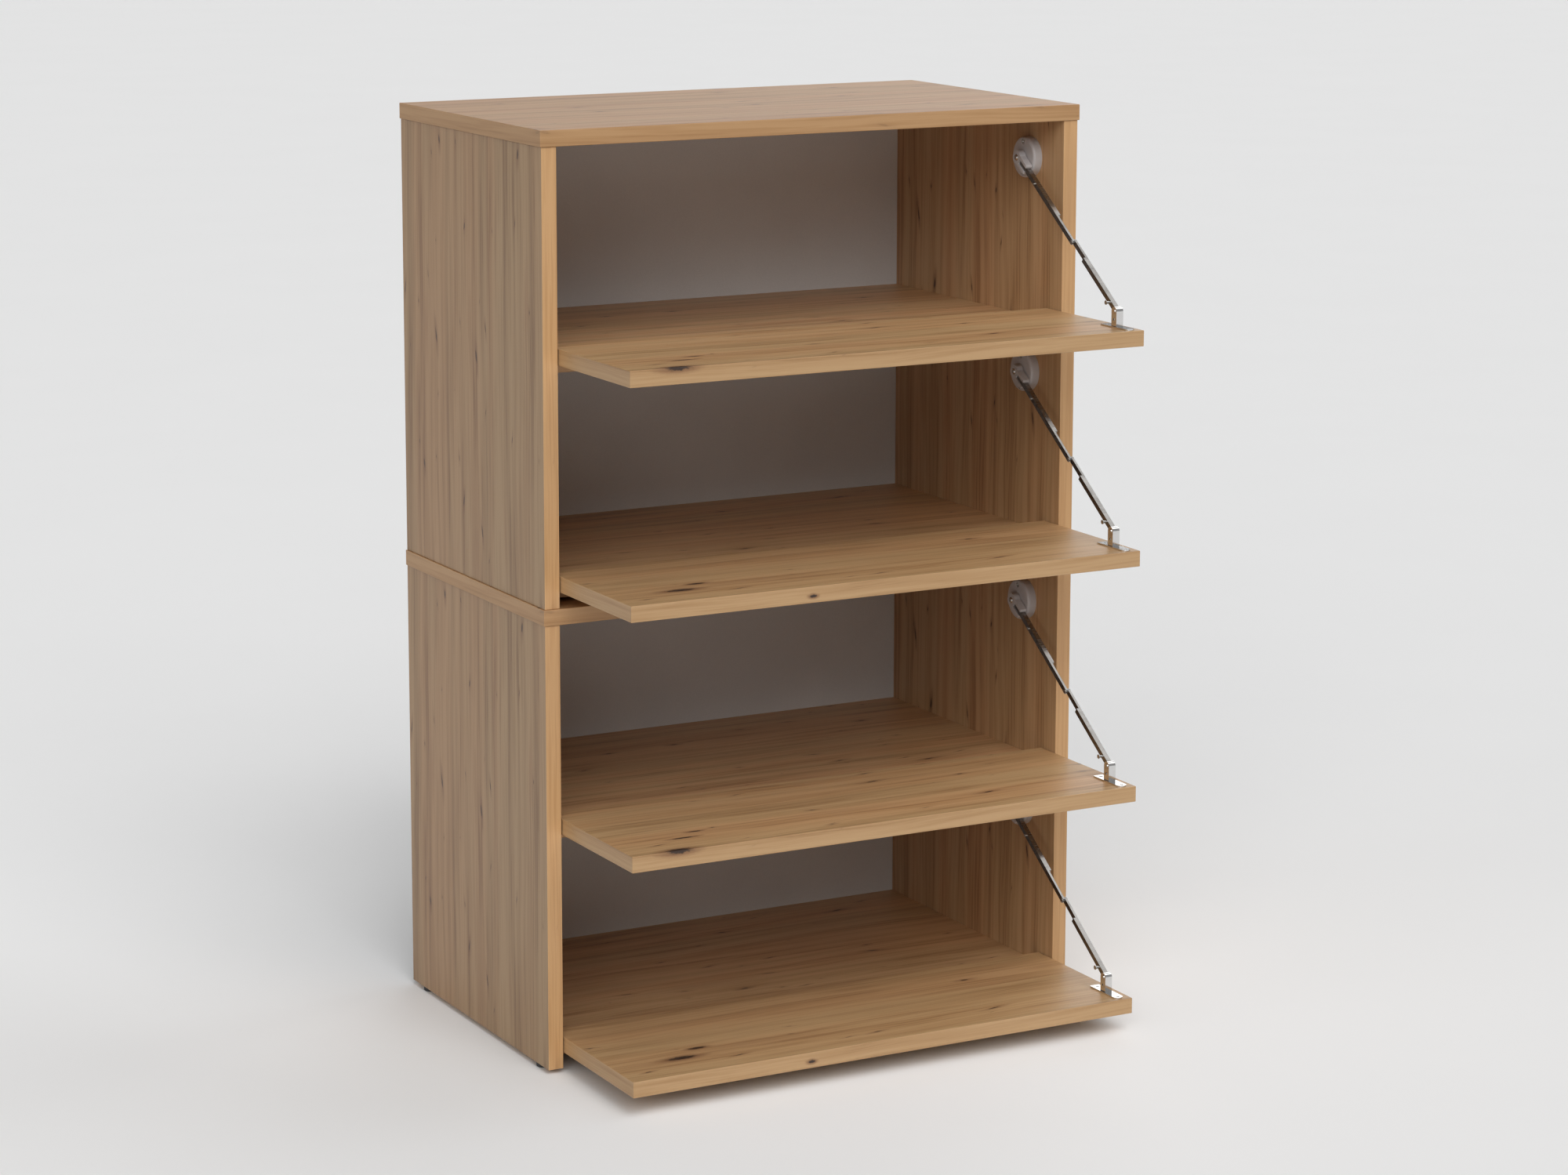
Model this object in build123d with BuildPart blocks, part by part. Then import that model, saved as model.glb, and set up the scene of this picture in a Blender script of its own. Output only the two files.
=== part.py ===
from build123d import *
import os
from math import atan2, cos, degrees, hypot, radians, sin

os.makedirs("parts", exist_ok=True)

# A stack of two equal cabinet modules, each with two drop-front flaps.
# Frame: +X is the viewer's right, -Y is the front, +Z is up, z = 0 is the floor.
# The pieces are drawn as they stand with every flap let down level.

# --- Driving dimensions, millimetres -------------------------------------------------
width = 600.0  # over the two side panels
depth = 340.0  # side panel and back panel together
side_height = 448.0
board = 16.0  # every wooden panel
back_thickness = 3.0
foot_height = 5.0
top_overhang = 1.5  # at the left, right and front
panel_round = 0.6  # softened panel edges

bottom_gap = 4.0  # bottom shelf's underside above the side panel's lower end
shelf_pitch = 222.0
shelf_setback = 29.0  # shelf's front edge behind the side panel's front edge

flap_length = 180.0
flap_reach = 154.0  # open flap in front of the side panels
flap_gap = 1.0  # between the flap's end and the side panel
flap_drop = 4.5  # open flap's underside below the shelf's top
hinge_inset = 8.0  # hinge line behind the side panel's front edge

pin_radius = 2.5
pin_in_flap = 12.0
pin_in_bush = 8.0
running_gap = 0.05  # radial clearance of a turning fit
bush_radius = 4.0
bush_depth = 10.0
bush_flange_radius = 5.5
bush_flange = 0.4

stay_x = 270.0  # middle plane of the folding stay
arm_width = 5.3
arm_thickness = 5.0
lap_gap = 0.2  # between the two half-thickness tongues
elbow_share = 0.56  # upper arm's share of the straight stay
upper_tongue = 38.0
lower_tongue = 26.0
stay_pivot = (62.0, 164.0)  # behind the front edge, above the shelf
bracket_pivot = (-125.0, 28.0)

housing_radius = 21.0
housing_depth = 10.0
housing_round = 2.6
housing_screw_offset = 16.0
axle_radius = 2.0
axle_head_radius = 3.3

# --- Worked-out places ---------------------------------------------------------------
front_y = (flap_reach - depth) / 2
side_depth = depth - back_thickness
back_y = front_y + side_depth
inner_x = width / 2 - board
module_height = side_height + board
flap_end_x = inner_x - flap_gap
hinge_rise = board / 2 - flap_drop  # hinge line above the shelf's top
hinge_y = front_y + hinge_inset
flap_top = board - flap_drop  # open flap's upper face above the shelf's top

modules = {"lower": foot_height, "upper": foot_height + module_height}
shelf_tops = {"bottom": bottom_gap + board, "middle": bottom_gap + board + shelf_pitch}


def compartment_floors():
    """Heights of the four shelf tops, from the highest compartment to the lowest."""
    return [
        base + top
        for base in sorted(modules.values(), reverse=True)
        for top in sorted(shelf_tops.values(), reverse=True)
    ]


def save(part, label):
    """Label one finished piece and write its STEP file."""
    part.label = label
    export_step(part, f"parts/{label}.step")


def facing(x, y, z, direction):
    """A plane at a point of the frame, its normal along a frame direction."""
    return Plane(origin=(x, y, z), z_dir=direction)


RIGHT, LEFT = (1, 0, 0), (-1, 0, 0)
BACK, UP, DOWN = (0, 1, 0), (0, 0, 1), (0, 0, -1)
ALIGN_DOWN = (Align.CENTER, Align.CENTER, Align.MAX)
ALIGN_UP = (Align.CENTER, Align.CENTER, Align.MIN)

# --- Fastener layout -----------------------------------------------------------------
dowel_radius = 4.0
dowel_gap = 0.05
dowel_length = 30.0
dowel_in_side = 11.0  # a shelf dowel's length inside the side panel
shelf_dowel_rows = (front_y + 110.0, back_y - 82.0)
top_dowel_rows = (front_y + 45.0, front_y + side_depth / 2, back_y - 45.0)
stack_dowel_length = 20.0
stack_dowel_rows = (front_y + 75.0, back_y - 75.0)

cam_rows = (front_y + 65.0, back_y - 42.0)
cam_reach = 34.0  # cam's centre from the shelf's end
cam_radius = 7.5
cam_height = 12.0
bolt_radius = 2.5
bolt_shank_radius = 2.0
bolt_head_radius = 3.0
bolt_head = 3.0
bolt_tunnel_radius = 3.5

nail_radius = 0.8
nail_length = 18.0
nail_head_radius = 2.0
nail_head = 0.6
nail_gap = 0.05
nail_start = 30.0  # lowest nail above the module's base
nail_pitch = 78.0
nails_up_a_side = 6
shelf_nail_columns = (-180.0, -60.0, 60.0, 180.0)
back_inset = 2.0  # back panel's edges inside the module's outline

foot_radius = 7.0
foot_rows = (front_y + 30.0, back_y - 27.0)
foot_x = inner_x + board / 2
glide_nail_radius = 1.0
glide_nail = 12.0
glide_round = 1.2

screw_radius = 1.6
screw_length = 20.0
screw_head_radius = 3.0
screw_head = screw_head_radius - screw_radius
screw_gap = 0.05
recess_length = 3.6  # cross recess in a screw's head
recess_width = 0.7
recess_depth = 0.9
cam_slot_length = 8.0
cam_slot_width = 1.4
cam_slot_depth = 1.8

stop_size = (8.0, 12.0, 20.0)
stop_front = front_y + 18.0
stop_rise = 150.0  # block's middle above the shelf
pad_thickness = 1.7
pad_radius = 3.5


def nail_points(base):
    """Nail positions over one module's back panel, as (x, z) pairs."""
    rows = [base + nail_start + nail_pitch * step for step in range(nails_up_a_side)]
    points = [(hand * foot_x, z) for hand in (-1, 1) for z in rows]
    for top in shelf_tops.values():
        points += [(x, base + top - board / 2) for x in shelf_nail_columns]
    return points


# --- Panels --------------------------------------------------------------------------
def side_panel(label, hand, base):
    """A side panel; hand is 1 for the right side and -1 for the left side."""
    inner = Plane.YZ.offset(hand * inner_x)
    shelf_mids = [base + top - board / 2 for top in shelf_tops.values()]
    floors = [base + top for top in shelf_tops.values()]
    with BuildPart() as side:
        with BuildSketch(inner):
            with Locations((front_y + side_depth / 2, base + side_height / 2)):
                Rectangle(side_depth, side_height)
        extrude(amount=hand * board)
        fillet(side.edges(), radius=panel_round)
        with BuildSketch(inner):
            with Locations(*[(hinge_y, floor + hinge_rise) for floor in floors]):
                Circle(bush_radius)
        extrude(amount=hand * bush_depth, mode=Mode.SUBTRACT)
        with BuildSketch(inner):
            with Locations(*[(y, z) for y in shelf_dowel_rows for z in shelf_mids]):
                Circle(dowel_radius)
            with Locations(*[(y, z) for y in cam_rows for z in shelf_mids]):
                Circle(bolt_radius)
        extrude(amount=hand * dowel_in_side, mode=Mode.SUBTRACT)
        with BuildSketch(inner):
            if hand > 0:
                centre = [(front_y + stay_pivot[0], floor + stay_pivot[1]) for floor in floors]
                ends = [(y, z + s * housing_screw_offset) for y, z in centre for s in (-1, 1)]
            else:
                ends = [(stop_front + stop_size[1] / 2, floor + stop_rise) for floor in floors]
            with Locations(*ends):
                Circle(screw_radius + screw_gap)
        extrude(amount=hand * (screw_length - stop_size[0] + screw_gap), mode=Mode.SUBTRACT)
        with BuildSketch(Plane.XY.offset(base + side_height)):
            with Locations(*[(hand * foot_x, y) for y in top_dowel_rows]):
                Circle(dowel_radius)
        extrude(amount=dowel_in_side - dowel_length, mode=Mode.SUBTRACT)
        if base > foot_height:
            with BuildSketch(Plane.XY.offset(base)):
                with Locations(*[(hand * foot_x, y) for y in stack_dowel_rows]):
                    Circle(dowel_radius)
            extrude(amount=stack_dowel_length / 2, mode=Mode.SUBTRACT)
        else:
            with BuildSketch(Plane.XY.offset(base)):
                with Locations(*[(hand * foot_x, y) for y in foot_rows]):
                    Circle(glide_nail_radius + nail_gap)
            extrude(amount=glide_nail, mode=Mode.SUBTRACT)
        with BuildSketch(Plane.XZ.offset(-back_y)):
            edge_nails = [(x, z) for x, z in nail_points(base) if x == hand * foot_x]
            with Locations(*edge_nails):
                Circle(nail_radius + nail_gap)
        extrude(amount=nail_length - back_thickness, mode=Mode.SUBTRACT)
    save(side.part, label)


def top_panel(label, base):
    """The panel that lies on both sides and overhangs them a little."""
    underside = base + side_height
    length = side_depth + top_overhang
    with BuildPart() as top:
        with BuildSketch(Plane.XY.offset(underside)):
            with Locations((0, back_y - length / 2)):
                Rectangle(width + 2 * top_overhang, length)
        extrude(amount=board)
        fillet(top.edges(), radius=panel_round)
        with BuildSketch(Plane.XY.offset(underside)):
            with Locations(*[(s * foot_x, y) for s in (-1, 1) for y in top_dowel_rows]):
                Circle(dowel_radius)
        extrude(amount=dowel_in_side, mode=Mode.SUBTRACT)
        if base == foot_height:
            with BuildSketch(Plane.XY.offset(underside + board)):
                with Locations(*[(s * foot_x, y) for s in (-1, 1) for y in stack_dowel_rows]):
                    Circle(dowel_radius)
            extrude(amount=-stack_dowel_length / 2, mode=Mode.SUBTRACT)
    save(top.part, label)


def shelf(label, top):
    """A fixed shelf between the sides, drilled for its cams, bolts, dowels and nails."""
    length = side_depth - shelf_setback
    middle = top - board / 2
    with BuildPart() as panel:
        with BuildSketch(Plane.XY.offset(top - board)):
            with Locations((0, back_y - length / 2)):
                Rectangle(2 * inner_x, length)
        extrude(amount=board)
        fillet(panel.edges(), radius=panel_round)
        with BuildSketch(Plane.XY.offset(top - board)):
            with Locations(*[(s * (inner_x - cam_reach), y) for s in (-1, 1) for y in cam_rows]):
                Circle(cam_radius)
        extrude(amount=cam_height, mode=Mode.SUBTRACT)
        for hand in (-1, 1):
            with BuildSketch(Plane.YZ.offset(hand * inner_x)):
                with Locations(*[(y, middle) for y in cam_rows]):
                    Circle(bolt_tunnel_radius)
            extrude(amount=-hand * cam_reach, mode=Mode.SUBTRACT)
            with BuildSketch(Plane.YZ.offset(hand * inner_x)):
                with Locations(*[(y, middle) for y in shelf_dowel_rows]):
                    Circle(dowel_radius)
            extrude(amount=-hand * (dowel_length - dowel_in_side), mode=Mode.SUBTRACT)
        with BuildSketch(Plane.XZ.offset(-back_y)):
            with Locations(*[(x, middle) for x in shelf_nail_columns]):
                Circle(nail_radius + nail_gap)
        extrude(amount=nail_length - back_thickness, mode=Mode.SUBTRACT)
    save(panel.part, label)


def back_panel(label, base):
    """The thin panel nailed over the rear edges."""
    with BuildPart() as back:
        with BuildSketch(Plane.XZ.offset(-back_y)):
            with Locations((0, base + module_height / 2)):
                Rectangle(width - 2 * back_inset, module_height - 2 * back_inset)
        extrude(amount=-back_thickness)
        with Locations(*[facing(x, back_y + back_thickness, z, BACK) for x, z in nail_points(base)]):
            CounterBoreHole(
                radius=nail_radius + nail_gap,
                counter_bore_radius=nail_head_radius + nail_gap,
                counter_bore_depth=nail_head,
                depth=back_thickness,
            )
    save(back.part, label)


for module, base in modules.items():
    side_panel(f"{module}_left_side", -1, base)
    side_panel(f"{module}_right_side", 1, base)
    top_panel(f"{module}_top", base)
    for place, top in shelf_tops.items():
        shelf(f"{module}_{place}_shelf", base + top)
    back_panel(f"{module}_back_panel", base)


# --- Joinery and feet ----------------------------------------------------------------
def cam_planes():
    """One plane per cam, on the shelf's underside, x axis towards the side panel."""
    for base in modules.values():
        for top in shelf_tops.values():
            for hand in (-1, 1):
                for y in cam_rows:
                    place = (hand * (inner_x - cam_reach), y, base + top - board)
                    yield Plane(origin=place, x_dir=(hand, 0, 0), z_dir=UP)


cam_mouth = cam_radius + bolt_head
bolt_tunnel = 2 * bolt_tunnel_radius
with BuildPart() as cam_housings:
    with Locations(*cam_planes()):
        Cylinder(cam_radius, cam_height, align=ALIGN_UP)
        with Locations((cam_radius / 2, 0, board / 2)):
            Box(cam_mouth, bolt_tunnel, bolt_tunnel, mode=Mode.SUBTRACT)
        Box(cam_slot_length, cam_slot_width, 2 * cam_slot_depth, mode=Mode.SUBTRACT)
        Box(cam_slot_width, cam_slot_length, 2 * cam_slot_depth, mode=Mode.SUBTRACT)
save(cam_housings.part, "cam_housings")

with BuildPart() as cam_bolts:
    for plane in cam_planes():
        hand = 1 if plane.origin.X > 0 else -1
        end = facing(hand * inner_x, plane.origin.Y, plane.origin.Z + board / 2, (hand, 0, 0))
        with Locations(end):
            Cylinder(bolt_radius, dowel_in_side, align=ALIGN_UP)
            Cylinder(bolt_shank_radius, cam_reach, align=ALIGN_DOWN)
            with Locations((0, 0, bolt_head - cam_reach)):
                Cylinder(bolt_head_radius, bolt_head, align=ALIGN_DOWN)
save(cam_bolts.part, "cam_bolts")

with BuildPart() as dowels:
    peg = dowel_radius - dowel_gap
    for base in modules.values():
        for hand in (-1, 1):
            for top in shelf_tops.values():
                with Locations(*[
                    facing(hand * (inner_x + dowel_in_side), y, base + top - board / 2, (hand, 0, 0))
                    for y in shelf_dowel_rows
                ]):
                    Cylinder(peg, dowel_length, align=ALIGN_DOWN)
            with Locations(*[
                (hand * foot_x, y, base + side_height + dowel_in_side) for y in top_dowel_rows
            ]):
                Cylinder(peg, dowel_length, align=ALIGN_DOWN)
    with Locations(*[
        (hand * foot_x, y, modules["upper"]) for hand in (-1, 1) for y in stack_dowel_rows
    ]):
        Cylinder(peg, stack_dowel_length)
save(dowels.part, "dowels")

with BuildPart() as back_panel_nails:
    for base in modules.values():
        with Locations(*[facing(x, back_y + back_thickness, z, BACK) for x, z in nail_points(base)]):
            Cylinder(nail_head_radius, nail_head, align=ALIGN_DOWN)
            Cylinder(nail_radius, nail_length, align=ALIGN_DOWN)
save(back_panel_nails.part, "back_panel_nails")

with BuildPart() as feet:
    with Locations(*[(hand * foot_x, y, 0) for hand in (-1, 1) for y in foot_rows]):
        Cylinder(foot_radius, foot_height, align=ALIGN_UP)
    fillet(feet.edges().group_by(Axis.Z)[0], radius=glide_round)
    with Locations(*[(hand * foot_x, y, foot_height) for hand in (-1, 1) for y in foot_rows]):
        Cylinder(glide_nail_radius, glide_nail, align=ALIGN_UP)
save(feet.part, "feet")

# --- Fixed parts of the hinges, stays and stops --------------------------------------
floors = compartment_floors()

with BuildPart() as hinge_bushes:
    with Locations(*[
        facing(hand * inner_x, hinge_y, floor + hinge_rise, (-hand, 0, 0))
        for hand in (-1, 1)
        for floor in floors
    ]):
        Cylinder(bush_radius, bush_depth, align=ALIGN_DOWN)
        Cylinder(bush_flange_radius, bush_flange, align=ALIGN_UP)
        Cylinder(pin_radius + running_gap, 3 * bush_depth, mode=Mode.SUBTRACT)
save(hinge_bushes.part, "hinge_bushes")

stay_centres = [(inner_x - housing_depth, front_y + stay_pivot[0], floor + stay_pivot[1]) for floor in floors]
screw_spots = [
    facing(x, y, z + side * housing_screw_offset, LEFT) for x, y, z in stay_centres for side in (-1, 1)
]
stop_spots = [
    facing(stop_size[0] - inner_x, stop_front + stop_size[1] / 2, floor + stop_rise, RIGHT)
    for floor in floors
]

with BuildPart() as stay_housings:
    with Locations(*[facing(inner_x, y, z, LEFT) for x, y, z in stay_centres]):
        Cylinder(housing_radius, housing_depth, align=ALIGN_UP)
    fillet(stay_housings.edges().group_by(Axis.X)[0], radius=housing_round)
    with Locations(*screw_spots):
        CounterSinkHole(
            radius=screw_radius + screw_gap,
            counter_sink_radius=screw_head_radius + screw_gap,
            depth=2 * housing_depth,
            counter_sink_angle=90,
        )
    with Locations(*[facing(x, y, z, LEFT) for x, y, z in stay_centres]):
        Hole(axle_radius)
save(stay_housings.part, "stay_housings")

axle_reach = 9.4  # axle's length in front of the housing, under its head
axle_head = 1.2
with BuildPart() as stay_axles:
    with Locations(*[facing(x, y, z, LEFT) for x, y, z in stay_centres]):
        Cylinder(axle_radius, housing_depth, align=ALIGN_DOWN)
        Cylinder(axle_radius, axle_reach, align=ALIGN_UP)
        with Locations((0, 0, axle_reach - axle_head)):
            Cone(axle_head_radius, axle_radius, axle_head, align=ALIGN_UP)
save(stay_axles.part, "stay_axles")

with BuildPart() as flap_stops:
    with Locations(*stop_spots):
        Box(stop_size[2], stop_size[1], stop_size[0], align=ALIGN_DOWN)
        CounterSinkHole(
            radius=screw_radius + screw_gap,
            counter_sink_radius=screw_head_radius + screw_gap,
            depth=2 * stop_size[0],
            counter_sink_angle=90,
        )
save(flap_stops.part, "flap_stops")

with BuildPart() as flap_stop_pads:
    with Locations(*[
        facing(stop_size[0] / 2 - inner_x, stop_front, floor + stop_rise, BACK) for floor in floors
    ]):
        Cylinder(pad_radius, pad_thickness, align=ALIGN_DOWN)
save(flap_stop_pads.part, "flap_stop_pads")


def cross_screws(planes, length, head_radius, shank_radius):
    """Countersunk cross-recess screws; each plane lies on a head and faces away from it."""
    head = head_radius - shank_radius
    with BuildPart() as screws:
        with Locations(*planes):
            Cylinder(shank_radius, length, align=ALIGN_DOWN)
            Cone(shank_radius, head_radius, head, align=ALIGN_DOWN)
            Box(recess_length, recess_width, 2 * recess_depth, mode=Mode.SUBTRACT)
            Box(recess_width, recess_length, 2 * recess_depth, mode=Mode.SUBTRACT)
    return screws.part


save(
    cross_screws(screw_spots + stop_spots, screw_length, screw_head_radius, screw_radius),
    "mounting_screws",
)

# --- One flap with its hinge pins, bracket and folding stay --------------------------
plate_thickness = 1.5
plate_width = 11.0
plate_ends = (-151.0, -103.0)  # from the side panel's front edge
plate_nose = 5.0
upright_width = 8.0
upright_wall = 1.2
upright_radius = 4.5
rivet_radius = 1.3
rivet_head_radius = 2.2
rivet_head = 0.7
low_hole_drop = 8.0
low_hole_radius = 1.2
bracket_screw_rows = (-147.0, -109.0)
bracket_screw_radius = 1.3
bracket_screw_head_radius = 2.4
bracket_screw_length = 14.0

knuckle_near = 4.0  # knuckle's front face, towards the middle of the cabinet
knuckle_far = 3.4
hub_radius = 7.0
knuckle_width = 11.0
knuckle_length = 20.0
knuckle_slot = 6.5  # where the arm's square end sits, from the axle
stop_pin_place = 41.0
stop_pin_radius = 1.2
stop_pin_height = 1.7
clip_place = 13.0
clip_radius = 1.5
clip_height = 4.0

straight = (bracket_pivot[0] - stay_pivot[0], bracket_pivot[1] - stay_pivot[1])
stay_length = hypot(*straight)
stay_angle = degrees(atan2(straight[1], straight[0]))
upper_length = elbow_share * stay_length
lower_length = stay_length - upper_length
arm_near = stay_x - arm_thickness / 2
arm_far = stay_x + arm_thickness / 2
tongue = (arm_thickness - lap_gap) / 2


def stay_plane(x, pivot, floor, angle):
    """A plane across the stay at x, origin on a pivot, its x axis along the arm."""
    turn = radians(angle)
    origin = (x, front_y + pivot[0], floor + pivot[1])
    return Plane(origin=origin, x_dir=(0, cos(turn), sin(turn)), z_dir=RIGHT)


def flap_panel(label, floor):
    """The drop front, lying level, bored for its pins and its bracket's screws."""
    with BuildPart() as flap:
        with BuildSketch(Plane.XY.offset(floor - flap_drop)):
            with Locations((0, front_y - flap_reach + flap_length / 2)):
                Rectangle(2 * flap_end_x, flap_length)
        extrude(amount=board)
        fillet(flap.edges(), radius=panel_round)
        for hand in (-1, 1):
            with BuildSketch(Plane.YZ.offset(hand * flap_end_x)):
                with Locations((hinge_y, floor + hinge_rise)):
                    Circle(pin_radius)
            extrude(amount=-hand * pin_in_flap, mode=Mode.SUBTRACT)
        with BuildSketch(Plane.XY.offset(floor + flap_top)):
            with Locations(*[(stay_x, front_y + y) for y in bracket_screw_rows]):
                Circle(bracket_screw_radius + screw_gap)
        extrude(amount=plate_thickness - bracket_screw_length, mode=Mode.SUBTRACT)
    save(flap.part, label)


def flap_pins(label, floor):
    """The two hinge pins, pressed into the flap's ends and turning in the bushes."""
    length = pin_in_flap + flap_gap + pin_in_bush
    with BuildPart() as pins:
        for hand in (-1, 1):
            inner_end = hand * (flap_end_x - pin_in_flap)
            with Locations(facing(inner_end, hinge_y, floor + hinge_rise, (hand, 0, 0))):
                Cylinder(pin_radius, length, align=ALIGN_UP)
        chamfer(pins.edges().filter_by(GeomType.CIRCLE), length=0.4)
    save(pins.part, label)


def flap_bracket(label, floor):
    """A screwed plate with a U-shaped upright that is open towards the cabinet."""
    seat = floor + flap_top
    plate_length = plate_ends[1] - plate_ends[0]
    pivot_y, pivot_z = front_y + bracket_pivot[0], floor + bracket_pivot[1]
    screw_spots = [facing(stay_x, front_y + y, seat + plate_thickness, UP) for y in bracket_screw_rows]
    with BuildPart() as bracket:
        with BuildSketch(Plane.XY.offset(seat)) as plate:
            with Locations((stay_x, front_y + sum(plate_ends) / 2)):
                Rectangle(plate_width, plate_length)
            fillet(plate.vertices().group_by(Axis.Y)[0], radius=plate_nose)
            fillet(plate.vertices().group_by(Axis.Y)[-1], radius=1.0)
        extrude(amount=plate_thickness)
        with BuildSketch(Plane.YZ.offset(stay_x - upright_width / 2)):
            with Locations((pivot_y, (pivot_z + seat) / 2)):
                Rectangle(2 * upright_radius, pivot_z - seat)
            with Locations((pivot_y, pivot_z)):
                Circle(upright_radius)
        extrude(amount=upright_width)
        inside = upright_width - 2 * upright_wall
        inside_radius = upright_radius - upright_wall
        floor_z = seat + plate_thickness
        with BuildSketch(Plane.YZ.offset(stay_x - inside / 2)):
            with Locations((pivot_y, (pivot_z + floor_z) / 2)):
                Rectangle(2 * inside_radius, pivot_z - floor_z)
            with Locations((pivot_y, pivot_z)):
                Circle(inside_radius)
            with Locations((pivot_y, floor_z)):
                Rectangle(10 * upright_radius, 10 * upright_radius, align=(Align.MIN, Align.MIN))
        extrude(amount=inside, mode=Mode.SUBTRACT)
        with BuildSketch(Plane.YZ.offset(stay_x)):
            with Locations((pivot_y, pivot_z)):
                Circle(rivet_radius)
            with Locations((pivot_y, pivot_z - low_hole_drop)):
                Circle(low_hole_radius)
        extrude(amount=upright_width, both=True, mode=Mode.SUBTRACT)
        with Locations(*screw_spots):
            CounterSinkHole(
                radius=bracket_screw_radius + screw_gap,
                counter_sink_radius=bracket_screw_head_radius + screw_gap,
                depth=plate_thickness,
                counter_sink_angle=90,
            )
        with Locations(facing(stay_x + upright_width / 2, pivot_y, pivot_z, RIGHT)):
            Cylinder(rivet_radius, upright_width, align=ALIGN_DOWN)
            Cylinder(rivet_head_radius, rivet_head, align=ALIGN_UP)
        with Locations(facing(stay_x - upright_width / 2, pivot_y, pivot_z, LEFT)):
            Cylinder(rivet_head_radius, rivet_head, align=ALIGN_UP)
    save(bracket.part, label)


def upper_arm(label, floor):
    """The arm that the knuckle holds; its lower end is a half-thickness tongue."""
    body_end = upper_length - upper_tongue
    with BuildPart() as arm:
        with BuildSketch(stay_plane(arm_near, stay_pivot, floor, stay_angle)):
            with Locations(((knuckle_slot + body_end) / 2, 0)):
                Rectangle(body_end - knuckle_slot, arm_width)
        extrude(amount=arm_thickness)
        with BuildSketch(stay_plane(arm_near, stay_pivot, floor, stay_angle)):
            with Locations(((body_end + upper_length) / 2, 0)):
                Rectangle(upper_tongue, arm_width)
            with Locations((upper_length, 0)):
                Circle(arm_width / 2)
        extrude(amount=tongue)
        with BuildSketch(stay_plane(arm_near, stay_pivot, floor, stay_angle)):
            with Locations((upper_length, 0)):
                Circle(rivet_radius)
        extrude(amount=tongue, mode=Mode.SUBTRACT)
        with BuildSketch(stay_plane(arm_near, stay_pivot, floor, stay_angle)):
            with Locations((stop_pin_place, 0)):
                Circle(stop_pin_radius)
        extrude(amount=tongue, mode=Mode.SUBTRACT)
    save(arm.part, label)


def upper_arm_pins(label, floor):
    """The little stop pin near the knuckle and the near half of the elbow's rivet."""
    near = stay_plane(arm_near, stay_pivot, floor, stay_angle)
    with BuildPart() as pins:
        with Locations(near):
            with Locations((upper_length, 0, 0)):
                Cylinder(rivet_radius, tongue, align=ALIGN_UP)
                Cylinder(rivet_head_radius, rivet_head, align=ALIGN_DOWN)
            with Locations((stop_pin_place, 0, 0)):
                Cylinder(stop_pin_radius, tongue, align=ALIGN_UP)
                Cylinder(stop_pin_radius, stop_pin_height, align=ALIGN_DOWN)
    save(pins.part, label)


def knuckle(label, floor):
    """The moulded fork that turns on the housing's axle and grips the upper arm."""
    near_x = stay_x - knuckle_near
    with BuildPart() as fork:
        with BuildSketch(stay_plane(near_x, stay_pivot, floor, stay_angle)) as outline:
            Circle(hub_radius)
            with Locations((knuckle_length / 2, 0)):
                Rectangle(knuckle_length, knuckle_width)
            fillet(outline.vertices().group_by(Axis.Y)[0], radius=1.5)
        extrude(amount=knuckle_near + knuckle_far)
        with BuildSketch(stay_plane(near_x, stay_pivot, floor, stay_angle)):
            with Locations(((knuckle_slot + 2 * knuckle_length) / 2, 0)):
                Rectangle(2 * knuckle_length - knuckle_slot, arm_width)
        extrude(amount=knuckle_near + arm_thickness / 2, mode=Mode.SUBTRACT)
        with BuildSketch(stay_plane(near_x, stay_pivot, floor, stay_angle)):
            Circle(axle_radius + running_gap)
        extrude(amount=knuckle_near + knuckle_far, mode=Mode.SUBTRACT)
    save(fork.part, label)


def lower_arm(label, floor):
    """The arm that turns on the flap's bracket; its upper end is the other tongue."""
    body_end = lower_length - lower_tongue
    back_angle = stay_angle + 180
    with BuildPart() as arm:
        with BuildSketch(stay_plane(arm_near, bracket_pivot, floor, back_angle)):
            Circle(arm_width / 2)
            with Locations((body_end / 2, 0)):
                Rectangle(body_end, arm_width)
        extrude(amount=arm_thickness)
        with BuildSketch(stay_plane(arm_far, bracket_pivot, floor, back_angle)):
            with Locations(((body_end + lower_length) / 2, 0)):
                Rectangle(lower_tongue, arm_width)
            with Locations((lower_length, 0)):
                Circle(arm_width / 2)
        extrude(amount=-tongue)
        with BuildSketch(stay_plane(arm_far, bracket_pivot, floor, back_angle)):
            with Locations((lower_length, 0)):
                Circle(rivet_radius)
        extrude(amount=-tongue, mode=Mode.SUBTRACT)
        with BuildSketch(stay_plane(arm_near, bracket_pivot, floor, back_angle)):
            Circle(rivet_radius + running_gap)
        extrude(amount=arm_thickness, mode=Mode.SUBTRACT)
        with BuildSketch(stay_plane(arm_near, bracket_pivot, floor, back_angle)):
            with Locations((clip_place, 0)):
                Circle(clip_radius)
        extrude(amount=tongue, mode=Mode.SUBTRACT)
    save(arm.part, label)


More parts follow.
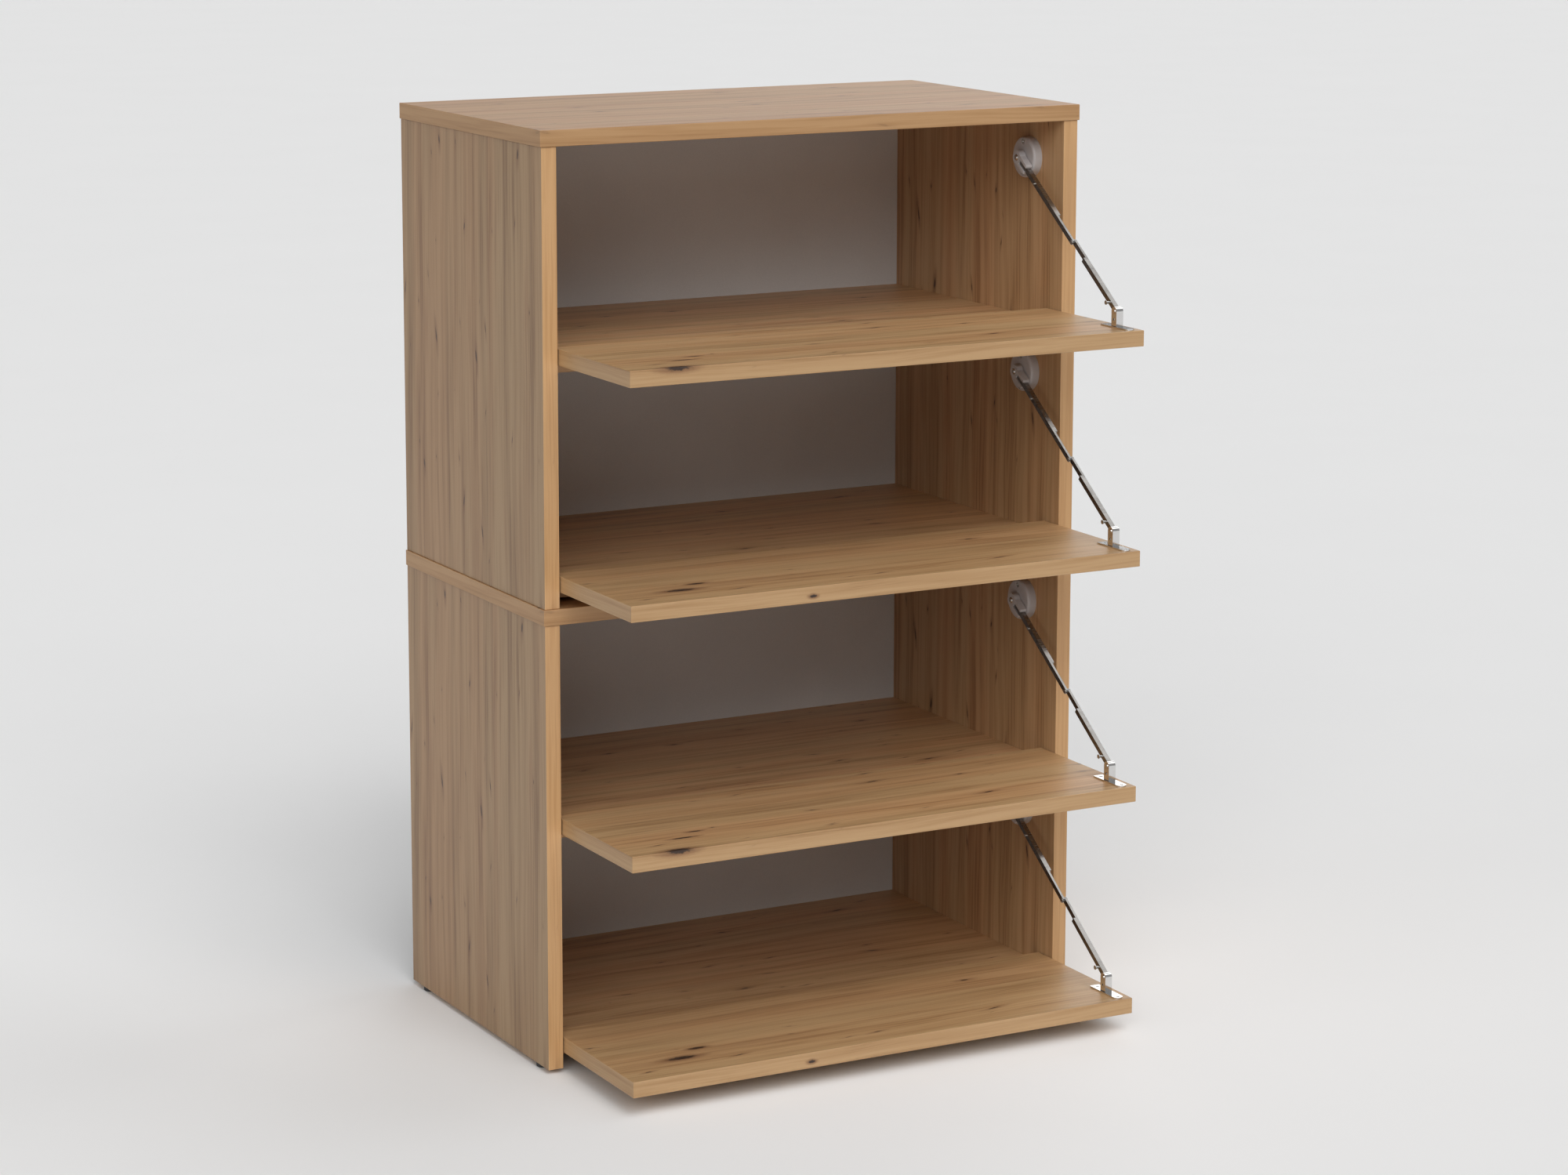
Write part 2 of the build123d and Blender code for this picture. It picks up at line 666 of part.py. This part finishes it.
def lower_arm_pins(label, floor):
    """The clip pin beside the bracket and the far half of the elbow's rivet."""
    near = stay_plane(arm_near, bracket_pivot, floor, stay_angle + 180)
    far = stay_plane(arm_far, bracket_pivot, floor, stay_angle + 180)
    with BuildPart() as pins:
        with Locations(near):
            with Locations((clip_place, 0, 0)):
                Cylinder(clip_radius, tongue, align=ALIGN_UP)
                Cylinder(clip_radius, clip_height, align=ALIGN_DOWN)
                with Locations((0, 0, -clip_height)):
                    Cylinder(rivet_head_radius, rivet_head, align=ALIGN_DOWN)
        with Locations(far):
            with Locations((lower_length, 0, 0)):
                Cylinder(rivet_radius, tongue, align=ALIGN_DOWN)
                Cylinder(rivet_head_radius, rivet_head, align=ALIGN_UP)
    save(pins.part, label)


for number, floor in enumerate(floors, start=1):
    name = f"flap_{number}"
    flap_panel(name, floor)
    flap_pins(f"{name}_hinge_pins", floor)
    flap_bracket(f"{name}_bracket", floor)
    plate_top = floor + flap_top + plate_thickness
    bracket_spots = [facing(stay_x, front_y + y, plate_top, UP) for y in bracket_screw_rows]
    save(
        cross_screws(
            bracket_spots, bracket_screw_length, bracket_screw_head_radius, bracket_screw_radius
        ),
        f"{name}_bracket_screws",
    )
    upper_arm(f"{name}_upper_arm", floor)
    upper_arm_pins(f"{name}_upper_arm_pins", floor)
    knuckle(f"{name}_knuckle", floor)
    lower_arm(f"{name}_lower_arm", floor)
    lower_arm_pins(f"{name}_lower_arm_pins", floor)
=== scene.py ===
import math

import bpy
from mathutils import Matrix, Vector


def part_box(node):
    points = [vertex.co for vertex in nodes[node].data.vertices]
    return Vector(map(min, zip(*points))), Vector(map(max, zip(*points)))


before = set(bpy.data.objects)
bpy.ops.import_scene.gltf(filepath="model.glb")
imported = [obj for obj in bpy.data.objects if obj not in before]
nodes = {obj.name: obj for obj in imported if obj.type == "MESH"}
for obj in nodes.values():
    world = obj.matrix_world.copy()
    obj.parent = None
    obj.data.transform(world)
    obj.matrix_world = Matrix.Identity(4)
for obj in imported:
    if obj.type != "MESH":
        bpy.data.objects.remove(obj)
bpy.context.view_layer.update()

MODULES = ("lower", "upper")
FLAPS = [f"flap_{number}" for number in (1, 2, 3, 4)]


# --- Node graphs ---------------------------------------------------------------------
class Graph:
    """One material's node graph, with short calls for the nodes that the finishes share."""

    def __init__(self, name):
        self.material = bpy.data.materials.new(name)
        self.material.use_nodes = True
        self.tree = self.material.node_tree
        self.tree.nodes.clear()
        output = self.tree.nodes.new("ShaderNodeOutputMaterial")
        self.shader = self.tree.nodes.new("ShaderNodeBsdfPrincipled")
        self.tree.links.new(self.shader.outputs["BSDF"], output.inputs["Surface"])

    def put(self, socket, value):
        if isinstance(value, bpy.types.NodeSocket):
            self.tree.links.new(value, socket)
        elif isinstance(value, tuple) and len(value) == 3 and socket.type == "RGBA":
            socket.default_value = (*value, 1.0)
        else:
            socket.default_value = value

    def node(self, kind, inputs=None, **settings):
        made = self.tree.nodes.new(kind)
        for key, value in settings.items():
            setattr(made, key, value)
        for key, value in (inputs or {}).items():
            self.put(made.inputs[key], value)
        return made

    def shade(self, **inputs):
        """Set the shader's own sockets; an underscore in a name stands for a space."""
        for key, value in inputs.items():
            self.put(self.shader.inputs[key.replace("_", " ")], value)

    def math(self, operation, *values, clamp=False):
        made = self.node("ShaderNodeMath", operation=operation, use_clamp=clamp)
        for socket, value in zip(made.inputs, values):
            self.put(socket, value)
        return made.outputs[0]

    def smooth(self, value, low, high, start=0.0, end=1.0):
        """A smooth step of value, from start at low to end at high."""
        inputs = {"Value": value, "From Min": low, "From Max": high, "To Min": start, "To Max": end}
        return self.node("ShaderNodeMapRange", inputs, interpolation_type="SMOOTHSTEP").outputs[0]

    def mix(self, factor, first, second):
        """A blend of two plain numbers."""
        made = self.node("ShaderNodeMix", {"Factor": factor}, data_type="FLOAT")
        self.put(made.inputs[2], first)
        self.put(made.inputs[3], second)
        return made.outputs[0]

    def blend(self, factor, first, second, mode="MIX"):
        """A blend of two colours."""
        made = self.node("ShaderNodeMix", data_type="RGBA", blend_type=mode)
        self.put(made.inputs[0], factor)
        self.put(made.inputs[6], first)
        self.put(made.inputs[7], second)
        return made.outputs[2]

    def split(self, vector):
        return self.node("ShaderNodeSeparateXYZ", {"Vector": vector}).outputs

    def join(self, x, y, z):
        return self.node("ShaderNodeCombineXYZ", {"X": x, "Y": y, "Z": z}).outputs[0]

    def own(self, kind):
        """The piece's own coordinates: Object, Generated or Normal."""
        return self.node("ShaderNodeTexCoord").outputs[kind]

    def noise(self, vector, scale, detail=2.0, roughness=0.5, distortion=0.0):
        inputs = {
            "Vector": vector,
            "Scale": scale,
            "Detail": detail,
            "Roughness": roughness,
            "Distortion": distortion,
        }
        return self.node("ShaderNodeTexNoise", inputs).outputs[0]

    def stretched(self, across, along, depth, scales, **settings):
        """Noise over (across, along, depth), each with its own scale."""
        parts = [self.math("MULTIPLY", part, scale) for part, scale in zip((across, along, depth), scales)]
        return self.noise(self.join(*parts), 1.0, **settings)

    def bump(self, height, strength, distance):
        inputs = {"Height": height, "Strength": strength, "Distance": distance}
        return self.node("ShaderNodeBump", inputs).outputs[0]


# --- Oak decor -----------------------------------------------------------------------
FACE_TONES = ((0.505, 0.310, 0.162), (0.438, 0.258, 0.128), (0.290, 0.150, 0.066))
EDGE_TONES = ((0.585, 0.345, 0.160), (0.522, 0.294, 0.128), (0.405, 0.210, 0.083))
STAVE_TINTS = ((0.97, 1.0, 1.005), (1.022, 0.982, 0.967))
STAIN, KNOT_HALO = (0.300, 0.150, 0.070), (0.190, 0.088, 0.040)
KNOT_BROWN, KNOT_BLACK = (0.060, 0.029, 0.016), (0.036, 0.020, 0.013)

# The grain's layers of noise: how fine each is across the grain, along it and into the board, per metre.
RAGGED = (700.0, 220.0, 60.0)
DRIFT = (7.0, 2.6, 40.0)
STAVE = (24.0, 0.5, 60.0)
BAND = (85.0, 2.6, 60.0)
STREAK = (330.0, 7.0, 60.0)
FIBRE = (2100.0, 34.0, 60.0)
BAND_SHARE, STREAK_SHARE, PORE_SHARE = 0.62, 0.56, 0.20
BEND, KNOT_BEND = 0.022, 0.003  # how far the grain wanders, and turns round a knot
KNOT_DEPTH = 1.2  # how deep a knot is sunk, where a pore is 1
EDGE_KNOTS_LEFT = 0.2  # how strong the scattered knots still are on banding

# Scattered marks: the cell that holds one (across, along), the share of cells that do, and the seed's shift.
LARGE_CELLS = ((0.048, 0.115), 0.50, 0.0)
SMALL_CELLS = ((0.034, 0.080), 0.30, 5.3)
CLOUD_CELLS = ((0.060, 0.190), 0.45, 9.1)
# Their half sizes across and along the grain, and their strengths.
LARGE_CORE, LARGE_HALO, LARGE_HALO_SHARE = (0.0012, 0.0031), (0.0025, 0.0085), 0.80
SMALL_CORE, SMALL_HALO, SMALL_CORE_SHARE, SMALL_HALO_SHARE = (0.0006, 0.0016), (0.0015, 0.0050), 0.7, 0.40
CLOUD, CLOUD_SHARE = (0.0042, 0.034), 0.28


def cells(g, across, along, seed, plain, layout):
    """Scattered places, some of them kept: returns the offsets from the nearest, its size and its weight."""
    cell, share, shift = layout
    seed = g.math("ADD", seed, shift)
    u = g.math("ADD", g.math("DIVIDE", across, cell[0]), seed)
    v = g.math("ADD", g.math("DIVIDE", along, cell[1]), g.math("MULTIPLY", seed, 3.7))
    v = g.math("ADD", v, g.math("MULTIPLY", g.math("SINE", g.math("MULTIPLY", u, 2.4)), 0.6))
    place = g.join(u, v, 0.0)
    found = g.node("ShaderNodeTexVoronoi", {"Vector": place, "Scale": 1.0}, voronoi_dimensions="2D")
    apart = g.node("ShaderNodeVectorMath", operation="SUBTRACT")
    g.put(apart.inputs[0], place)
    g.put(apart.inputs[1], found.outputs["Position"])
    du, dv, _ = g.split(apart.outputs[0])
    chance = g.node("ShaderNodeSeparateColor", {"Color": found.outputs["Color"]}).outputs
    size = g.smooth(chance[0], 0.0, 1.0, 0.6, 1.5)
    kept = g.math("GREATER_THAN", chance[1], 1.0 - share)
    kept = g.math("MULTIPLY", kept, plain)
    return g.math("MULTIPLY", du, cell[0]), g.math("MULTIPLY", dv, cell[1]), size, kept


def blot(g, found, radii, wobble, soft):
    """A spindle round a scattered place, its edge from sharp at soft 0 to faded at soft 1."""
    du, dv, size, kept = found
    a = g.math("DIVIDE", g.math("DIVIDE", du, radii[0]), size)
    b = g.math("DIVIDE", g.math("DIVIDE", dv, radii[1]), size)
    reach = g.math("SQRT", g.math("ADD", g.math("MULTIPLY", a, a), g.math("MULTIPLY", b, b)))
    reach = g.math("ADD", reach, wobble)
    return g.math("MULTIPLY", g.smooth(reach, 1.0 + soft, 1.0 - soft), kept)


def marks(g, place, spots, wobble):
    """Named knots: each spot is (x, y, z), (rx, ry, rz) in metres. Returns (core mask, halo mask)."""
    axes = g.split(place)
    core, halo = 0.0, 0.0
    for centre, radii in spots:
        total = 0.0
        for axis, middle, radius in zip(axes, centre, radii):
            part = g.math("DIVIDE", g.math("SUBTRACT", axis, middle), radius)
            total = g.math("ADD", total, g.math("MULTIPLY", part, part))
        reach = g.math("SQRT", total)
        core = g.math("MAXIMUM", core, g.smooth(g.math("ADD", reach, wobble), 1.1, 0.6))
        faint = g.math("ADD", reach, g.math("MULTIPLY", wobble, 0.4))
        halo = g.math("MAXIMUM", halo, g.smooth(faint, 2.3, 0.8))
    return core, halo


def scattered(g, across, along, seed, edge, wobble, faint):
    """The board's own small knots and stains: returns (core mask, halo mask, stain mask)."""
    plain = g.math("SUBTRACT", 1.0, g.math("MULTIPLY", edge, 1.0 - EDGE_KNOTS_LEFT))
    large = cells(g, across, along, seed, plain, LARGE_CELLS)
    small = cells(g, across, along, seed, plain, SMALL_CELLS)
    cloud = cells(g, across, along, seed, 1.0, CLOUD_CELLS)
    core = blot(g, large, LARGE_CORE, wobble, 0.45)
    halo = g.math("MULTIPLY", blot(g, large, LARGE_HALO, faint, 0.9), LARGE_HALO_SHARE)
    small_core = g.math("MULTIPLY", blot(g, small, SMALL_CORE, wobble, 0.5), SMALL_CORE_SHARE)
    small_halo = g.math("MULTIPLY", blot(g, small, SMALL_HALO, faint, 0.9), SMALL_HALO_SHARE)
    stain = g.math("MULTIPLY", blot(g, cloud, CLOUD, faint, 0.95), CLOUD_SHARE)
    return g.math("MAXIMUM", core, small_core), g.math("MAXIMUM", halo, small_halo), stain


def toned(g, dark, tones):
    """Wood from light over middle to dark, as the grain's darkness says."""
    light, mid, deep = tones
    body = g.blend(g.smooth(dark, 0.0, 0.55), light, mid)
    return g.blend(g.smooth(dark, 0.5, 1.2), body, deep)


def oak(name, size, upright, seed, painted_light_tint, painted_light_edge_tint, spots=()):
    """Oak decor on a board of that size. Its faces' grain runs along X, or up an upright board; on each edge
    the banding's grain runs along the edge. Its two tints are painted light that makes the board lighter or
    darker."""
    g = Graph(name)
    scaled = g.node("ShaderNodeVectorMath", operation="MULTIPLY")
    g.put(scaled.inputs[0], g.own("Generated"))
    g.put(scaled.inputs[1], tuple(size))
    place = scaled.outputs[0]
    x, y, z = g.split(place)
    nx, ny, nz = g.split(g.own("Normal"))
    if upright:
        long, thick, n_long = z, x, nz
    else:
        long, thick, n_long = x, z, nx
    end = g.math("GREATER_THAN", g.math("ABSOLUTE", n_long), 0.7)
    front = g.math("GREATER_THAN", g.math("ABSOLUTE", ny), 0.7)
    edge = g.math("MAXIMUM", end, front)
    across = g.mix(edge, y, thick)
    along = g.mix(end, long, y)
    depth = g.math("ADD", g.mix(front, g.mix(end, thick, long), y), seed)

    ragged = g.stretched(across, along, depth, RAGGED, detail=3.0, roughness=0.7)
    wobble = g.math("MULTIPLY", g.math("SUBTRACT", ragged, 0.5), 1.5)
    faint = g.math("MULTIPLY", wobble, 0.4)
    shift = g.math("ADD", g.math("MULTIPLY", depth, 0.37), seed)
    core, halo, stain = scattered(g, across, along, shift, edge, wobble, faint)
    marked, around = marks(g, place, spots, wobble)
    halo = g.math("MAXIMUM", halo, around)

    drift = g.stretched(across, along, depth, DRIFT, detail=2.0)
    bent = g.math("ADD", across, g.math("MULTIPLY", drift, BEND))
    bent = g.math("ADD", bent, g.math("MULTIPLY", halo, KNOT_BEND))
    stave = g.stretched(bent, along, depth, STAVE, detail=1.0)
    band = g.stretched(bent, along, depth, BAND, detail=2.0, roughness=0.5)
    streak = g.stretched(bent, along, depth, STREAK, detail=3.0, roughness=0.6)
    fibre = g.stretched(bent, along, depth, FIBRE, detail=3.0, roughness=0.7)
    pores = g.smooth(fibre, 0.58, 0.76)

    dark = g.math("MULTIPLY", g.smooth(band, 0.38, 0.66), BAND_SHARE)
    dark = g.math("ADD", dark, g.math("MULTIPLY", g.smooth(streak, 0.42, 0.70), STREAK_SHARE))
    dark = g.math("ADD", dark, g.math("MULTIPLY", pores, PORE_SHARE), clamp=True)

    rosy = g.blend(g.smooth(stave, 0.38, 0.64), *STAVE_TINTS)
    face = g.blend(1.0, toned(g, dark, FACE_TONES), rosy, "MULTIPLY")
    wood = g.blend(edge, face, toned(g, dark, EDGE_TONES))
    # Painted light and shade: the board's face and banding tints make the same oak lighter or darker on each
    # board, standing in for the light that falls on it.
    wood = g.blend(1.0, wood, g.blend(edge, painted_light_tint, painted_light_edge_tint), "MULTIPLY")
    wood = g.blend(stain, wood, STAIN)
    wood = g.blend(g.math("MULTIPLY", halo, 0.75), wood, KNOT_HALO)
    wood = g.blend(core, wood, KNOT_BROWN)
    wood = g.blend(marked, wood, KNOT_BLACK)

    grit = g.noise(place, 700.0, detail=2.0)
    rough = g.math("ADD", g.smooth(pores, 0.0, 1.0, 0.38, 0.48), g.math("MULTIPLY", grit, 0.08))
    sunk = g.math("MULTIPLY", g.math("MAXIMUM", core, marked), -KNOT_DEPTH)
    relief = g.math("ADD", g.math("MULTIPLY", pores, -1.0), sunk)
    g.shade(Base_Color=wood, Roughness=rough, Normal=g.bump(relief, 0.35, 0.0001))
    return g.material


def span(node):
    low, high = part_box(node)
    return high - low


def paint(names, material):
    """Give a finish to every material slot of these CAD nodes."""
    for name in names:
        mesh = nodes[name].data
        if not mesh.materials:
            mesh.materials.append(material)
        for index in range(len(mesh.materials)):
            mesh.materials[index] = material


flap_size = span("flap_1")
face_up = flap_size.z
# Each knot: its place from the flap's left end, free edge and underside, then its half sizes.
EDGE_KNOTS = (
    ((0.050, 0.002, face_up), (0.0150, 0.0050, 0.0035)),
    ((0.074, 0.039, face_up), (0.0130, 0.0019, 0.0020)),
    ((0.094, 0.055, face_up), (0.0075, 0.0016, 0.0020)),
)
FACE_KNOTS = (
    ((0.074, 0.044, face_up), (0.0165, 0.0046, 0.0020)),
    ((0.101, 0.064, face_up), (0.0095, 0.0028, 0.0020)),
    ((0.194, 0.000, 0.0066), (0.0040, 0.0020, 0.0018)),
)

# Each board: whether it stands upright, its seed, and the tints of its faces and of its banding; these tints
# are painted light and shade, making that board's oak lighter or darker to stand in for how much light falls
# on it.
BOARDS = {
    "left_side": (True, 2.64, (0.77, 0.79, 0.79), (0.97, 0.97, 0.97)),
    "right_side": (True, 4.11, (1.12, 1.13, 1.13), (0.97, 0.97, 0.97)),
    "top": (False, 7.73, (0.90, 0.84, 0.76), (0.77, 0.77, 0.78)),
    "bottom_shelf": (False, 11.9, (1.12, 1.12, 1.10), (0.9, 0.9, 0.9)),
    "middle_shelf": (False, 15.2, (1.12, 1.12, 1.10), (0.9, 0.9, 0.9)),
}
# Painted light and shade: the flaps' banding is tinted darker as painted shade, and the upper flaps are
# tinted a little lighter than the lower ones, standing in for how light falls on them.
FLAP_EDGE_PAINTED_SHADE_TINT = (0.79, 0.84, 0.90)
UPPER_FLAP_PAINTED_LIGHT_TINT, LOWER_FLAP_PAINTED_LIGHT_TINT = (1.04, 1.06, 1.01), (0.99, 1.01, 0.96)

for place, board in BOARDS.items():
    finish = oak(f"oak_{place}", span(f"lower_{place}"), *board)
    paint([f"{module}_{place}" for module in MODULES], finish)
paint(FLAPS[0::2], oak("oak_upper_flap", flap_size, False, 19.6, UPPER_FLAP_PAINTED_LIGHT_TINT, FLAP_EDGE_PAINTED_SHADE_TINT, EDGE_KNOTS))
paint(FLAPS[1::2], oak("oak_lower_flap", flap_size, False, 23.3, LOWER_FLAP_PAINTED_LIGHT_TINT, FLAP_EDGE_PAINTED_SHADE_TINT, FACE_KNOTS))


# --- Other finishes ------------------------------------------------------------------
def grained_paint(name, colour, other, grain, roughness, relief):
    """A board's or a moulding's skin: two close colours, clouded, with a fine grain."""
    g = Graph(name)
    place = g.own("Object")
    cloud = g.noise(place, 9.0, detail=3.0)
    fine = g.noise(place, grain, detail=3.0, roughness=0.6)
    tone = g.math("ADD", g.math("MULTIPLY", cloud, 0.6), g.math("MULTIPLY", fine, 0.4))
    g.shade(
        Base_Color=g.blend(g.smooth(tone, 0.35, 0.65), colour, other),
        Roughness=g.smooth(fine, 0.2, 0.8, roughness - 0.06, roughness + 0.06),
        Normal=g.bump(fine, relief, 0.0001),
    )
    return g.material


def metal(name, colour, other, roughness, brushed):
    """A plated or plain metal, with faint drawn lines, smudges and a little unevenness."""
    g = Graph(name)
    place = g.own("Object")
    x, y, z = g.split(place)
    lines = g.stretched(x, y, z, brushed, detail=3.0, roughness=0.65)
    smudge = g.noise(place, 90.0, detail=3.0)
    g.shade(
        Base_Color=g.blend(smudge, colour, other),
        Metallic=1.0,
        Roughness=g.smooth(g.math("ADD", lines, smudge), 0.7, 1.4, roughness * 0.6, roughness * 1.5),
        Normal=g.bump(lines, 0.08, 0.00003),
    )
    return g.material


# Skins, by the record's finish names: two colours, the grain per metre, the roughness and the relief.
SKINS = {
    "back_board": ((0.66, 0.655, 0.645), (0.61, 0.605, 0.597), 900.0, 0.55, 0.15),
    "beech": ((0.55, 0.36, 0.20), (0.46, 0.28, 0.14), 500.0, 0.6, 0.3),
    "stay_plastic": ((0.52, 0.50, 0.50), (0.47, 0.45, 0.455), 2600.0, 0.38, 0.2),
    "foot_plastic": ((0.018, 0.018, 0.019), (0.028, 0.028, 0.029), 1800.0, 0.5, 0.3),
    "pad_rubber": ((0.030, 0.030, 0.031), (0.045, 0.044, 0.044), 2200.0, 0.75, 0.4),
}
# Metals: two colours, the roughness, and how fine the drawn lines are along x, y and z, per metre.
METALS = {
    "chrome": ((0.78, 0.77, 0.76), (0.70, 0.69, 0.68), 0.10, (900.0, 60.0, 60.0)),
    "steel": ((0.60, 0.59, 0.57), (0.52, 0.51, 0.49), 0.28, (60.0, 900.0, 900.0)),
    "screw_steel": ((0.66, 0.65, 0.63), (0.55, 0.54, 0.52), 0.25, (700.0, 700.0, 80.0)),
    "zinc": ((0.62, 0.62, 0.63), (0.50, 0.50, 0.52), 0.40, (500.0, 500.0, 500.0)),
}
ARM_STEEL = ((0.33, 0.32, 0.305), (0.25, 0.24, 0.23), 0.24, (60.0, 900.0, 900.0))

finishes = {name: grained_paint(f"{name}_finish", *skin) for name, skin in SKINS.items()}
finishes.update({name: metal(f"{name}_finish", *look) for name, look in METALS.items()})
for name, node in nodes.items():
    slot = node.data.materials[0].name.split(".")[0]
    if slot in finishes:
        paint([name], finishes[slot])
paint([name for name in nodes if name.endswith("_arm")], metal("arm_steel_finish", *ARM_STEEL))


# --- Floor, light and camera ---------------------------------------------------------
def floor():
    mesh = bpy.data.meshes.new("floor")
    reach = 20.0
    corners = [(-reach, -reach, 0.0), (reach, -reach, 0.0), (reach, reach, 0.0), (-reach, reach, 0.0)]
    mesh.from_pydata(corners, [], [(0, 1, 2, 3)])
    made = bpy.data.objects.new("floor", mesh)
    bpy.context.scene.collection.objects.link(made)
    g = Graph("floor")
    cloud = g.noise(g.own("Object"), 3.0, detail=4.0)
    g.shade(Base_Color=g.blend(cloud, (0.90, 0.90, 0.90), (0.92, 0.92, 0.92)), Roughness=0.9)
    mesh.materials.append(g.material)


floor()


SOFTNESS = math.radians(38.0)
# Each lamp: its azimuth (0 in front, 90 on the right) and height in degrees, and its strength.
LAMPS = {
    "front": (0.0, 40.0, 0.92),
    "front_high": (0.0, 62.0, 0.82),
    "front_left": (-35.0, 30.0, 1.08),
    "left": (-80.0, 20.0, 0.31),
    "right": (80.0, 50.0, 0.47),
    "behind": (140.0, 30.0, 0.46),
}
for name, (azimuth, height, strength) in LAMPS.items():
    data = bpy.data.lights.new(name, "SUN")
    data.energy = strength
    data.angle = SOFTNESS
    lamp = bpy.data.objects.new(name, data)
    bpy.context.scene.collection.objects.link(lamp)
    around, up = math.radians(azimuth), math.radians(height)
    toward = Vector((math.sin(around) * math.cos(up), -math.cos(around) * math.cos(up), math.sin(up)))
    lamp.rotation_mode = "QUATERNION"
    lamp.rotation_quaternion = (-toward).to_track_quat("-Z", "Y")

# The studio's pale walls: seen behind the object and in its gloss, with little light of their own on it.
WALL, WALL_GLOSS, WALL_LIGHT = 0.80, 0.30, 0.03
world = bpy.data.worlds.new("studio")
bpy.context.scene.world = world
world.use_nodes = True
walls = world.node_tree
ray = walls.nodes.new("ShaderNodeLightPath").outputs
gloss = walls.nodes.new("ShaderNodeMix")
walls.links.new(ray["Is Glossy Ray"], gloss.inputs[0])
gloss.inputs[2].default_value, gloss.inputs[3].default_value = WALL_LIGHT, WALL_GLOSS
strength = walls.nodes.new("ShaderNodeMix")
walls.links.new(ray["Is Camera Ray"], strength.inputs[0])
walls.links.new(gloss.outputs[0], strength.inputs[2])
strength.inputs[3].default_value = WALL
walls.nodes["Background"].inputs["Color"].default_value = (1.0, 1.0, 1.0, 1.0)
walls.links.new(strength.outputs[0], walls.nodes["Background"].inputs["Strength"])

SENSOR = 36.0
FOCAL_WIDTHS = 2.579  # focal length over the image's width
lens = bpy.data.cameras.new("camera")
lens.sensor_width = SENSOR
lens.lens = FOCAL_WIDTHS * SENSOR
lens.shift_x, lens.shift_y = 0.030, -0.080
lens.clip_start, lens.clip_end = 0.05, 60.0
camera = bpy.data.objects.new("camera", lens)
bpy.context.scene.collection.objects.link(camera)
camera.location = (-1.915, -3.558, 1.296)
turn, tilt = math.radians(27.77), math.radians(10.12)
ahead = Vector((math.sin(turn) * math.cos(tilt), math.cos(turn) * math.cos(tilt), -math.sin(tilt)))
camera.rotation_mode = "QUATERNION"
camera.rotation_quaternion = ahead.to_track_quat("-Z", "Y")
bpy.context.scene.camera = camera

bpy.context.scene.view_settings.view_transform = "Standard"
